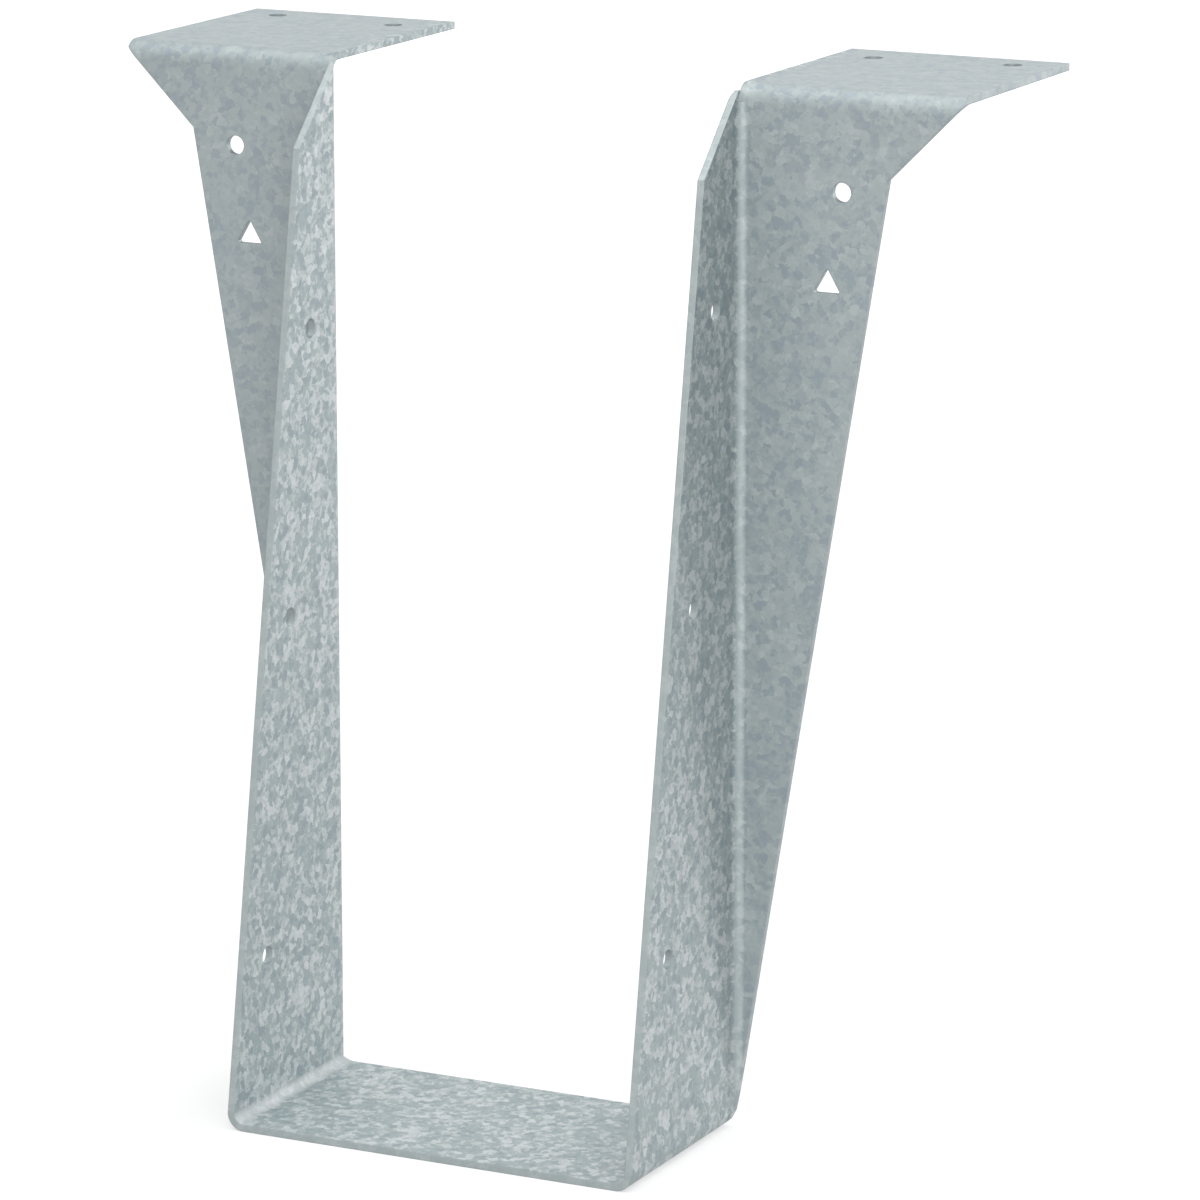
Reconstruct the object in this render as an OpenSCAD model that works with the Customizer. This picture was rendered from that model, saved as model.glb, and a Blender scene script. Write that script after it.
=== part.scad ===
// Top-flange joist hanger: one blank of galvanised sheet, punched, trimmed and folded.
// The joist sits in the U between the side plates. The face flanges lie against the header,
// and the top flanges lap over it.
// Origin: middle of the seat's bearing face. +X along the header, +Y towards it, +Z up.

/* [Joist pocket] */
// Clear width between the side plates
joist_w = 106.3; // [60:0.1:180]
// Height from the seat to the underside of the top flanges
joist_h = 254; // [220:1:406]

/* [Sheet] */
// Thickness of the sheet
sheet_t = 1.8; // [1.2:0.1:2.5]
// Inside radius of every bend
bend_r = 2.5; // [2:0.1:4.5]

/* [Outline] */
// Length of the seat from front to back
seat_d = 57.1; // [48:0.1:90]
// Width of each top flange
top_flange_w = 57.3; // [48:0.1:80]
// Reach of each top flange over the header
top_flange_d = 63.8; // [45:0.1:90]
// Height of the 45 degree corner cuts below the top flange
corner_cut = 18.7; // [14:0.1:22]

/* [Joist nails] */
// Diameter of every round nail hole
nail_d = 4.8; // [3:0.1:6]
// Distance of the joist nails behind the slanted front edge
joist_nail_inset = 11.5; // [8:0.1:16]
// Distance of the end nails from the seat and from the top flange
joist_nail_end = 50.8; // [44:0.1:60]
// Height of the middle nail above half height
joist_nail_mid = 6.35; // [0:0.05:10]
// How much lower the nails of the left plate sit
joist_nail_stagger = 12.7; // [0:0.1:20]

/* [Header nails] */
// Distance of the face nails from the tapered outer edge
face_nail_inset = 11.1; // [8:0.1:14]
// Depth of the round face nail below the top flange
face_nail_drop = 22.4; // [20:0.1:30]
// Step from the round face nail down to the triangular hole
tri_hole_step = 22.2; // [14:0.1:30]
// Side of the triangular hole, before its corners are rounded
tri_hole_side = 7.2; // [5:0.1:9]
// Corner radius of the triangular hole
tri_hole_r = 0.5; // [0.2:0.1:1]
// Distance of the top nails from the side edges of the top flange
top_nail_inset = 11.1; // [8:0.1:14]
// Distance of the inner top nail from the back edge
top_nail_back_inner = 12.4; // [8:0.1:20]
// Distance of the outer top nail from the back edge
top_nail_back_outer = 9.1; // [8:0.1:20]

/* [Hidden] */
// True circles at every bend and hole
$fn = 96;
// How far a cutting body runs past the sheet it cuts
cut_past = 1;
// Outside radius of every bend
bend_out = bend_r + sheet_t;
// Inner and outer faces of the side plates, from the middle
plate_in = joist_w / 2;
plate_out = plate_in + sheet_t;
// Outer edge of the top flanges
flange_out = plate_out + top_flange_w;
// Header face, behind the seat's back edge by one sheet
header_y = seat_d / 2 + sheet_t;
// Front edge of the seat, measured from the header face
front_y = -(seat_d + sheet_t);
// Height of the shoulders, where the tapers end and the corner cuts start
shoulder_z = joist_h - corner_cut;
// Front edge of the side plates at the shoulder: the cut runs out at the flange's front face
shoulder_y = -(corner_cut + sheet_t);
// Height where the standing sheet ends and the top bend starts
top_bend_z = joist_h - bend_r;
// Slope of each taper, as run over rise: the plate's starts above the seat's bend
plate_slope = (seat_d - corner_cut) / (shoulder_z - bend_r);
flange_slope = (top_flange_w - corner_cut) / shoulder_z;
// Toe of the face flange, level with the seat, where its edge runs out over the seat's bend
foot_x = plate_out - bend_r / 4;
// Insets of the nails, measured level instead of square to the taper
joist_nail_level = joist_nail_inset / cos(atan(plate_slope));
face_nail_level = face_nail_inset / cos(atan(flange_slope));
// Heights of the joist nails in the right side plate
joist_nail_heights = [joist_nail_end, joist_h / 2 + joist_nail_mid, joist_h - joist_nail_end];
// Heights of the two holes in each face flange
face_nail_z = joist_h - face_nail_drop;
tri_hole_z = face_nail_z - tri_hole_step;

// Front edge of a side plate at height z
function plate_edge(z) = front_y + plate_slope * (z - bend_r);
// Outer edge of a face flange at height z
function flange_edge(z) = plate_out + flange_slope * z;

// Extrudes a (y, z) outline along +X from x = from to x = to
module along_x(from, to) {
    translate([from, 0, 0])
        rotate([90, 0, 90])
            linear_extrude(to - from)
                children();
}

// Extrudes an (x, z) outline along +Y from y = from to y = to
module along_y(from, to) {
    translate([0, to, 0])
        rotate([90, 0, 0])
            linear_extrude(to - from)
                children();
}

// Section of one square bend, with its centre at the origin, in the upper left quarter
module bend_section() {
    intersection() {
        difference() {
            circle(r = bend_out);
            circle(r = bend_r);
        }
        translate([-bend_out, 0])
            square(bend_out);
    }
}

// Plan of the standing sheet: side plate, upright bend and face flange
module wall_plan() {
    translate([plate_in, front_y])
        square([sheet_t, -front_y - bend_out]);
    translate([plate_in + bend_out, -bend_out])
        bend_section();
    translate([plate_in + bend_out, -sheet_t])
        square([flange_out - plate_in - bend_out, sheet_t]);
}

// Outline of the face flange from the front: taper, 45 degree flare and square end
module face_outline() {
    polygon([
        [plate_in - cut_past, 0],
        [foot_x, 0],
        [flange_edge(bend_r), bend_r],
        [flange_edge(shoulder_z), shoulder_z],
        [flange_out, joist_h],
        [flange_out, joist_h + sheet_t],
        [plate_in - cut_past, joist_h + sheet_t]
    ]);
}

// Outline of the side plate from the side: slanted front edge and 45 degree corner cut.
// Beside the seat's bend only the upright bend goes on down.
module plate_outline() {
    polygon([
        [-bend_out, 0],
        [-bend_out, bend_r],
        [plate_edge(bend_r), bend_r],
        [shoulder_y, shoulder_z],
        [-sheet_t, joist_h],
        [cut_past, joist_h],
        [cut_past, 0]
    ]);
}

// Side plate and face flange, trimmed to both outlines, up to the start of the top bend
module standing_sheet() {
    intersection() {
        linear_extrude(top_bend_z)
            wall_plan();
        along_y(front_y - cut_past, cut_past)
            face_outline();
        along_x(0, flange_out)
            plate_outline();
    }
}

// Tip of the upright bend that carries the corner cut over into the end of the top bend
module corner_tip() {
    intersection() {
        translate([0, 0, top_bend_z - sheet_t])
            linear_extrude(bend_out)
                intersection() {
                    wall_plan();
                    translate([plate_in, -bend_out])
                        square([sheet_t, bend_out]);
                }
        along_x(0, plate_out)
            plate_outline();
    }
}

// Section of the top bend and top flange, with the bend's centre at the origin
module top_section() {
    bend_section();
    translate([0, bend_r])
        square([top_flange_d - bend_r, sheet_t]);
}

// Section of the top bend and of the short leg that laps into the face flange below it
module lap_section() {
    bend_section();
    translate([-bend_out, -sheet_t])
        square(sheet_t);
}

// Top bend and top flange, with the flare running out through the bend
module top_flange() {
    intersection() {
        translate([0, bend_r, top_bend_z]) {
            along_x(plate_out, flange_out)
                top_section();
            along_x(plate_in + bend_out, flange_out)
                lap_section();
        }
        along_y(-bend_out, top_flange_d + cut_past)
            face_outline();
    }
}

// Outline of the seat and its bend from the side. The bend's end is trimmed at 45 degrees,
// from the seat's back edge up to the start of the upright bend.
module seat_outline() {
    polygon([
        [front_y, -sheet_t],
        [-sheet_t, -sheet_t],
        [-sheet_t, 0],
        [-bend_out, bend_r],
        [front_y, bend_r]
    ]);
}

// Right half of the seat with its bend up into the side plate
module half_seat() {
    intersection() {
        along_y(front_y, -sheet_t) {
            translate([0, -sheet_t])
                square([plate_in - bend_r, sheet_t]);
            translate([plate_in - bend_r, bend_r])
                rotate(180)
                    bend_section();
        }
        along_x(0, plate_out)
            seat_outline();
    }
}

// Round nail hole along Z, with its middle at the origin
module nail_hole() {
    cylinder(d = nail_d, h = sheet_t + 2 * cut_past, center = true);
}

// Triangular hole along Z, point towards +Y, with rounded corners
module tri_hole() {
    corner_reach = tri_hole_side / sqrt(3) - 2 * tri_hole_r;
    linear_extrude(sheet_t + 2 * cut_past, center = true) {
        polygon([
            for (turn = [90, 210, 330])
                for (side = [-60, 60])
                    corner_reach * [cos(turn), sin(turn)]
                        + tri_hole_r * [cos(turn + side), sin(turn + side)]
        ]);
        for (turn = [90, 210, 330])
            rotate(turn)
                translate([corner_reach, 0])
                    circle(r = tri_hole_r);
    }
}

// The three joist nails of one side plate, lowered by drop
module joist_nails(drop) {
    for (height = joist_nail_heights)
        translate([plate_in + sheet_t / 2, plate_edge(height - drop) + joist_nail_level, height - drop])
            rotate([0, 90, 0])
                nail_hole();
}

// Round and triangular hole of one face flange, in line along its taper
module face_nails() {
    translate([flange_edge(face_nail_z) - face_nail_level, -sheet_t / 2, face_nail_z])
        rotate([90, 0, 0])
            nail_hole();
    translate([flange_edge(tri_hole_z) - face_nail_level, -sheet_t / 2, tri_hole_z])
        rotate([90, 0, 0])
            tri_hole();
}

// The two nails of one top flange
module top_nails() {
    translate([plate_out + top_nail_inset, top_flange_d - top_nail_back_inner, joist_h + sheet_t / 2])
        nail_hole();
    translate([flange_out - top_nail_inset, top_flange_d - top_nail_back_outer, joist_h + sheet_t / 2])
        nail_hole();
}

// Right half of the hanger, with its joist nails lowered by drop
module half_hanger(drop) {
    difference() {
        union() {
            half_seat();
            standing_sheet();
            corner_tip();
            top_flange();
        }
        joist_nails(drop);
        face_nails();
        top_nails();
    }
}

// The whole hanger, one piece of folded sheet
module hanger() {
    color([0.66, 0.70, 0.72])
        translate([0, header_y, 0]) {
            half_hanger(0);
            mirror([1, 0, 0])
                half_hanger(joist_nail_stagger);
        }
}

hanger();
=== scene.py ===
import bpy
from mathutils import Matrix, Vector


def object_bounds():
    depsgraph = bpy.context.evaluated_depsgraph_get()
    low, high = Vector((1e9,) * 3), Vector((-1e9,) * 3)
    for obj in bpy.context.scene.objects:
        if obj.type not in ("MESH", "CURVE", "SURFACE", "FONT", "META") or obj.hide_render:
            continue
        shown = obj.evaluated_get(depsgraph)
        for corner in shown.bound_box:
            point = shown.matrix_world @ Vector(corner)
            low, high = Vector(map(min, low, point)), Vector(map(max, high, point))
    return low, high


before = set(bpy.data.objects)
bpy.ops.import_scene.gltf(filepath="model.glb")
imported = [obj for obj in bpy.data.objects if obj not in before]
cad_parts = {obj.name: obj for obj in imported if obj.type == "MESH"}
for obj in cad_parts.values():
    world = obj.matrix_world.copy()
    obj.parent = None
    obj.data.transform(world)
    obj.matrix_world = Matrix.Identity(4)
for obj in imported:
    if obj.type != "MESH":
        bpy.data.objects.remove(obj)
cad_low, cad_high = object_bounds()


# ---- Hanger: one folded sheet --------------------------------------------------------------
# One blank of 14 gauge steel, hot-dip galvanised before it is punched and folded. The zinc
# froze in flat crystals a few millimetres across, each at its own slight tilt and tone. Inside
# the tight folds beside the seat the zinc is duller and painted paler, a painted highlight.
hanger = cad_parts["hanger"]

# Sizes in the crystal pattern, in metres like every length here
crystal_size = 0.0019
flake_size = 0.0010
cluster_size = 0.0045
ragged_size = 0.0016
ragged_reach = 0.0026

# What each size adds to the tone
crystal_share = 0.48
flake_share = 0.26
cluster_share = 0.26
rim_share = 0.05

# Slant of the crystals' faces, and the sheen of the zinc
crystal_tilt = 0.07
flake_tilt = 0.03
zinc_metallic = 0.40
brightest_roughness = 0.46
dullest_roughness = 0.58
fold_dulling = 0.16
fold_highlight_cover = 0.6
edge_radius = 0.00035
edge_samples = 4

# Where the flanges start, where the folds beside the seat lie, and the painted light and shade
# that lighten the zinc at the foot and darken it at the top
plate_face = 0.0550
plate_blend = 0.0040
seat_fold = 0.0502
fold_top = 0.0025
fold_blend = 0.0010
sheet_top = 0.25
foot_painted_light = 1.09
top_painted_shade = 0.95

# Colours of the zinc: drawn over the die, plain, on the cut edges, and the painted highlight in the
# folds
die_dark = (0.255, 0.307, 0.330, 1)
die_grey = (0.302, 0.356, 0.364, 1)
die_pale = (0.392, 0.434, 0.440, 1)
die_light = (0.508, 0.540, 0.548, 1)
zinc_blue = (0.293, 0.343, 0.372, 1)
zinc_grey = (0.323, 0.371, 0.387, 1)
zinc_green = (0.350, 0.395, 0.400, 1)
zinc_pale = (0.391, 0.432, 0.437, 1)
cut_zinc = zinc_green
painted_fold_highlight = (0.470, 0.490, 0.495, 1)
cut_cover = 0.8


def add(tree, kind, **settings):
    """One node of that kind, with the settings given."""
    node = tree.nodes.new(kind)
    for name, value in settings.items():
        setattr(node, name, value)
    return node


def wire(tree, source, target, socket):
    """Feeds an output, or a plain value, to a node's input."""
    if isinstance(source, bpy.types.NodeSocket):
        tree.links.new(source, target.inputs[socket])
    else:
        target.inputs[socket].default_value = source


def fed(tree, kind, *terms, **settings):
    """One node of that kind, with the terms fed to its first inputs."""
    node = add(tree, kind, **settings)
    for socket, term in enumerate(terms):
        wire(tree, term, node, socket)
    return node


def vector_math(tree, operation, *terms):
    """Vector sum, product or the like of its terms."""
    return fed(tree, "ShaderNodeVectorMath", *terms, operation=operation).outputs[0]


def maths(tree, operation, *terms):
    """Sum, product or the like of its terms."""
    return fed(tree, "ShaderNodeMath", *terms, operation=operation).outputs[0]


def span(tree, value, low, high, to_low, to_high):
    """The value moved from one range to another."""
    return fed(tree, "ShaderNodeMapRange", value, low, high, to_low, to_high, clamp=True).outputs[0]


def noise(tree, place, size, detail=2.0, roughness=0.5):
    """Cloudy noise with features of that size."""
    node = add(tree, "ShaderNodeTexNoise")
    wire(tree, place, node, "Vector")
    wire(tree, 1 / size, node, "Scale")
    wire(tree, detail, node, "Detail")
    wire(tree, roughness, node, "Roughness")
    return node


def crystals(tree, place, size):
    """Irregular cells of that size, each with its own random colour."""
    node = add(tree, "ShaderNodeTexVoronoi")
    wire(tree, place, node, "Vector")
    wire(tree, 1 / size, node, "Scale")
    return node


def ramp(tree, value, *stops):
    """A colour read off a row of stops, each a place from nought to one and its colour."""
    node = add(tree, "ShaderNodeValToRGB")
    wire(tree, value, node, "Fac")
    row = node.color_ramp.elements
    row[0].position, row[0].color = stops[0]
    row[1].position, row[1].color = stops[-1]
    for at, colour in stops[1:-1]:
        row.new(at).color = colour
    return node.outputs["Color"]


def laid_over(tree, under, over, cover):
    """The first colour with the second laid over it, as far as the cover says."""
    node = add(tree, "ShaderNodeMix", data_type="RGBA")
    under_socket, over_socket, blended_socket = 6, 7, 2
    wire(tree, cover, node, "Factor")
    wire(tree, under, node, under_socket)
    wire(tree, over, node, over_socket)
    return node.outputs[blended_socket]


def shifted(tree, colour, reach):
    """A random colour turned into a shift of up to half that reach each way."""
    centred = vector_math(tree, "SUBTRACT", colour, (0.5, 0.5, 0.5))
    return vector_math(tree, "MULTIPLY", centred, (reach, reach, reach))


def empty_material(name):
    """A new material and its tree, with no nodes yet."""
    material = bpy.data.materials.new(name)
    material.use_nodes = True
    material.node_tree.nodes.clear()
    return material, material.node_tree


def finish_with(tree, shader):
    """Makes that shader the material's surface."""
    wire(tree, shader.outputs[0], add(tree, "ShaderNodeOutputMaterial"), "Surface")


galvanised, tree = empty_material("galvanised_sheet")
coordinates = add(tree, "ShaderNodeTexCoord").outputs
place = coordinates["Object"]
along = fed(tree, "ShaderNodeSeparateXYZ", place).outputs
facing = fed(tree, "ShaderNodeSeparateXYZ", coordinates["Normal"]).outputs
from_middle = maths(tree, "ABSOLUTE", along["X"])

# The crystals' edges are ragged: the place is shaken before the cells are drawn
ragged = noise(tree, place, ragged_size, detail=3.0, roughness=0.6).outputs["Color"]
shaken = vector_math(tree, "ADD", place, shifted(tree, ragged, ragged_reach))
large = crystals(tree, shaken, crystal_size).outputs
small = crystals(tree, shaken, flake_size).outputs
large_chance = fed(tree, "ShaderNodeSeparateColor", large["Color"]).outputs
small_chance = fed(tree, "ShaderNodeSeparateColor", small["Color"]).outputs

# Neighbouring crystals of a like tone run together into larger patches, and each crystal
# lightens a little from its heart to its rim
cluster = noise(tree, large["Position"], cluster_size, detail=1.0).outputs["Fac"]
tone = maths(tree, "ADD",
             maths(tree, "MULTIPLY", large_chance["Red"], crystal_share),
             maths(tree, "MULTIPLY", small_chance["Red"], flake_share))
tone = maths(tree, "ADD", tone, span(tree, cluster, 0.25, 0.75, 0.0, cluster_share))
tone = maths(tree, "ADD", tone, span(tree, large["Distance"], 0.0, 0.9, -rim_share, rim_share))

# The seat and side plates were drawn over the folding die, which brings the crystals out
# light and crisp; on the flanges they stay fainter
on_die = ramp(tree, tone, (0.26, die_dark), (0.36, die_grey), (0.50, die_grey),
              (0.58, die_pale), (0.80, die_light))
plain = ramp(tree, tone, (0.28, zinc_blue), (0.40, zinc_grey), (0.46, zinc_grey),
             (0.52, zinc_green), (0.66, zinc_green), (0.84, zinc_pale))
on_flange = span(tree, from_middle, plate_face, plate_face + plate_blend, 0.0, 1.0)
zinc = laid_over(tree, on_die, plain, on_flange)

# Painted light and shade: the zinc is painted lighter towards the foot and darker towards the
# top, to even out the light, which is weaker low down between the plates
painted_light_scale = add(tree, "ShaderNodeVectorMath", operation="SCALE")
wire(tree, zinc, painted_light_scale, "Vector")
wire(tree, span(tree, along["Z"], 0.0, sheet_top, foot_painted_light, top_painted_shade), painted_light_scale, "Scale")
zinc = painted_light_scale.outputs["Vector"]

# A painted highlight: inside the tight folds between the seat and the plates the zinc is painted
# paler
beyond_seat = span(tree, from_middle, seat_fold, seat_fold + fold_blend, 0.0, 1.0)
low_down = span(tree, along["Z"], fold_top, fold_top + fold_blend, 1.0, 0.0)
inside_fold = span(tree, facing["Z"], 0.0, 0.1, 0.0, 1.0)
fold_highlight_and_dulling = maths(tree, "MULTIPLY", maths(tree, "MULTIPLY", beyond_seat, low_down), inside_fold)
zinc = laid_over(tree, zinc, painted_fold_highlight, maths(tree, "MULTIPLY", fold_highlight_and_dulling, fold_highlight_cover))

# The cut edges of the seat and plates show less of the crystals
faces_front = span(tree, facing["Y"], -0.6, -0.5, cut_cover, 0.0)
off_flange = span(tree, on_flange, 0.0, 1.0, 1.0, 0.0)
zinc = laid_over(tree, zinc, cut_zinc, maths(tree, "MULTIPLY", faces_front, off_flange))

# Each crystal's face is tilted a little from the sheet's own, and has a sheen of its own
surface = add(tree, "ShaderNodeNewGeometry").outputs["Normal"]
tilted = vector_math(tree, "ADD", surface, shifted(tree, large["Color"], crystal_tilt))
tilted = vector_math(tree, "ADD", tilted, shifted(tree, small["Color"], flake_tilt))
tilted = vector_math(tree, "NORMALIZE", tilted)
sheen = span(tree, large_chance["Green"], 0.0, 1.0, brightest_roughness, dullest_roughness)
# Inside the folds the zinc is also duller
sheen = maths(tree, "ADD", sheen, maths(tree, "MULTIPLY", fold_highlight_and_dulling, fold_dulling))

# The shears and the punch leave the sheet's edges a little rounded, and they catch the light
rounded = add(tree, "ShaderNodeBevel", samples=edge_samples)
wire(tree, edge_radius, rounded, "Radius")
wire(tree, tilted, rounded, "Normal")

zinc_coat = add(tree, "ShaderNodeBsdfPrincipled")
wire(tree, zinc_metallic, zinc_coat, "Metallic")
wire(tree, zinc, zinc_coat, "Base Color")
wire(tree, sheen, zinc_coat, "Roughness")
wire(tree, rounded.outputs["Normal"], zinc_coat, "Normal")
finish_with(tree, zinc_coat)

for material_slot in hanger.material_slots:
    material_slot.material = galvanised


# ---- Studio: floor, daylight and lamps -----------------------------------------------------
# A pale floor under the hanger's seat, in an even white room. The floor keeps the hanger's
# soft shadow close by and fades to the white of the room farther out. A large soft lamp
# hangs overhead, two stand in front, and one stands behind and to the right.
floor_reach = 12.0
floor_clear = 0.00005
floor_grey = (0.50, 0.50, 0.50, 1)
fade_start = 0.5
fade_end = 2.5
lift_near = 0.55
lift_far = 1.00
daylight = 0.20
room_white = 1.0


def seen_directly(tree):
    """One for a ray from the camera, from a gloss or through glass, and nought for the rest."""
    ray = add(tree, "ShaderNodeLightPath")
    shiny = maths(tree, "MAXIMUM", ray.outputs["Is Glossy Ray"], ray.outputs["Is Transmission Ray"])
    return maths(tree, "MAXIMUM", ray.outputs["Is Camera Ray"], shiny)


# The floor lies a hair under the seat, so that their two faces don't fall together
bpy.ops.object.select_all(action="DESELECT")
bpy.ops.mesh.primitive_plane_add(size=2 * floor_reach, location=(0, 0, cad_low.z - floor_clear))
floor = bpy.context.object
floor.name = "floor"
bpy.ops.object.transform_apply(location=True)

# The floor's own shine is added to what the lamps throw on it, and grows with the distance
pale, tree = empty_material("pale_floor")
matt = fed(tree, "ShaderNodeBsdfDiffuse", floor_grey)
middle = add(tree, "ShaderNodeTexCoord").outputs["Object"]
distance = fed(tree, "ShaderNodeVectorMath", middle, operation="LENGTH").outputs["Value"]
lift_here = span(tree, distance, fade_start, fade_end, lift_near, lift_far)
lift = add(tree, "ShaderNodeEmission")
wire(tree, maths(tree, "MULTIPLY", lift_here, seen_directly(tree)), lift, "Strength")
finish_with(tree, fed(tree, "ShaderNodeAddShader", matt.outputs[0], lift.outputs[0]))
floor.data.materials.append(pale)

world = bpy.data.worlds.new("studio")
bpy.context.scene.world = world
world.use_nodes = True
tree = world.node_tree
room = tree.nodes["Background"]
wire(tree, (1, 1, 1, 1), room, "Color")
wire(tree, span(tree, seen_directly(tree), 0.0, 1.0, daylight, room_white), room, "Strength")


def soft_lamp(name, place, size, power):
    """A square area lamp at a place, turned to face the middle of the hanger."""
    lamp = bpy.data.lights.new(name, "AREA")
    lamp.size = size
    lamp.energy = power
    stand = bpy.data.objects.new(name, lamp)
    stand.location = place
    to_hanger = (cad_low + cad_high) / 2 - Vector(place)
    stand.rotation_euler = to_hanger.to_track_quat("-Z", "Y").to_euler()
    bpy.context.scene.collection.objects.link(stand)


soft_lamp("overhead", place=(0.1, 0.0, 1.8), size=2.2, power=28)
soft_lamp("front left", place=(-0.5, -1.1, 1.4), size=1.6, power=5)
soft_lamp("behind right", place=(0.85, 1.6, 0.65), size=1.3, power=15.5)
soft_lamp("front right", place=(1.0, -1.7, 0.6), size=1.6, power=26)


# ---- Camera ---------------------------------------------------------------------------------
# A long lens, a little above the hanger and to the right of its open front. It looks into the
# pocket, so that the seat, both plates and the tops of the flanges all show.
camera_data = bpy.data.cameras.new("camera")
camera_data.sensor_width = 36
camera_data.lens = 180.772
camera = bpy.data.objects.new("camera", camera_data)
camera_place = Vector((0.650429, -1.249561, 0.461274))
ahead = Vector((-0.431530, 0.872738, -0.228275)).normalized()
right = Vector((0.896417, 0.443212, -0.000098))
right = (right - right.dot(ahead) * ahead).normalized()
up = right.cross(ahead)
camera.matrix_world = Matrix.Translation(camera_place) @ Matrix((
    (right.x, up.x, -ahead.x, 0),
    (right.y, up.y, -ahead.y, 0),
    (right.z, up.z, -ahead.z, 0),
    (0, 0, 0, 1),
))
bpy.context.scene.collection.objects.link(camera)
bpy.context.scene.camera = camera
bpy.context.scene.view_settings.view_transform = "Standard"
